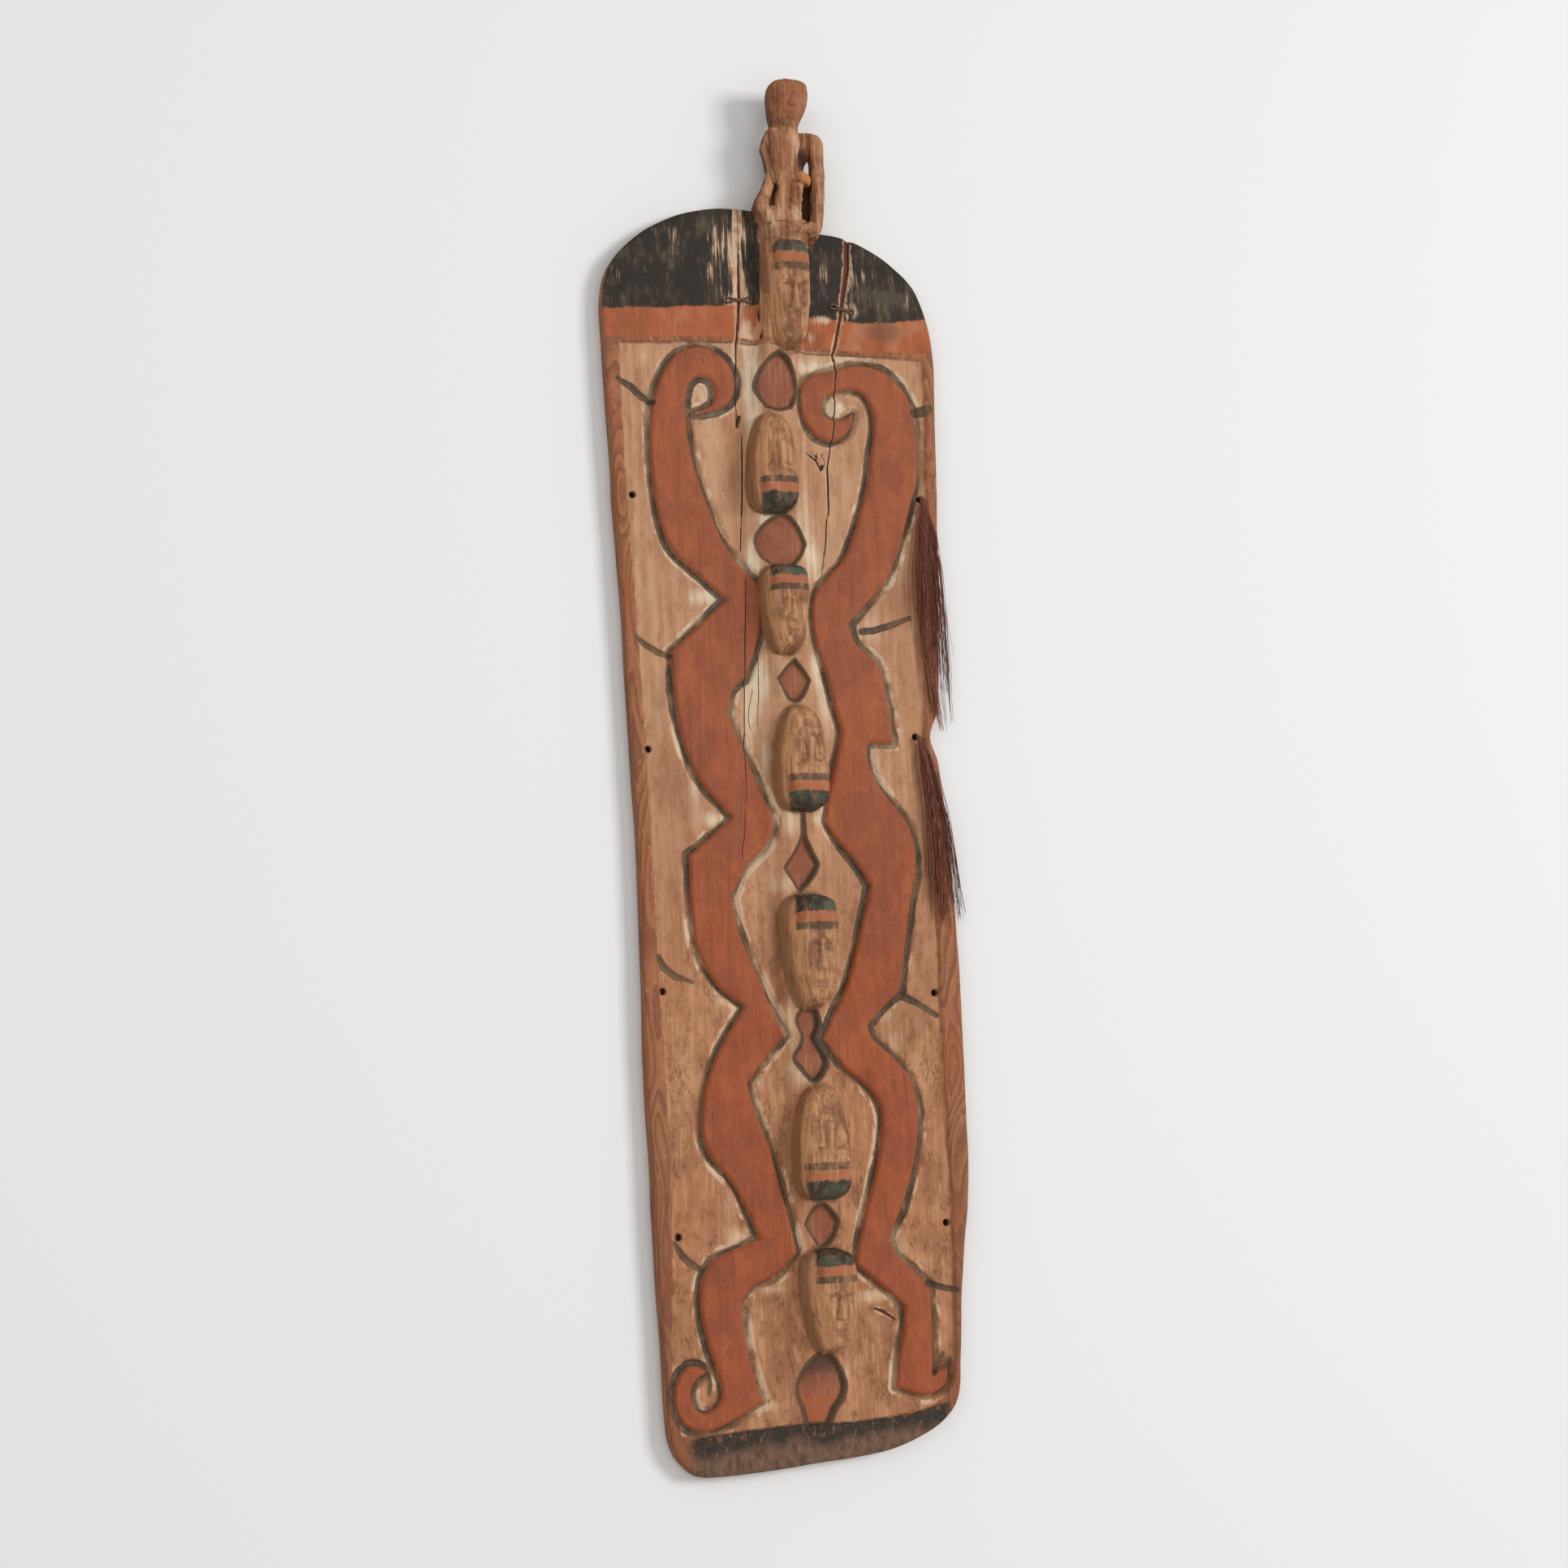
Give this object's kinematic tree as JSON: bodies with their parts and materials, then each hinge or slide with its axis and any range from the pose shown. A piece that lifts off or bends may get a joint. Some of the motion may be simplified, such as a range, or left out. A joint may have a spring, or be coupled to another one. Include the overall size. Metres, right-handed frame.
{
  "type": "asmat shield",
  "caption": "Tall carved wooden shield with painted relief ribbons, a ridge of small heads and lozenges, a standing figure at the top end and fibre tassels along its edge.",
  "frame": {"origin": "on the flat back, in the middle of the board", "axes": "+Y along the board towards the carved figure at its top end, +X towards the right-hand edge as one faces the carving, +Z out of the carved face"},
  "size_m": [0.4522, 1.7818, 0.071],
  "materials": {
    "old_carved_wood": "carved, painted with lime, ochre and soot, worn matt",
    "rattan_stitch": "dark twisted cord, matt",
    "plant_fibre": "loose dark red-brown fibre, matt"
  },
  "bodies": {
    "root": {"shield": "old_carved_wood", "left_crack_tie": "rattan_stitch", "right_crack_tie": "rattan_stitch", "upper_tassel": "plant_fibre", "lower_tassel": "plant_fibre"}
  },
  "joints": []
}
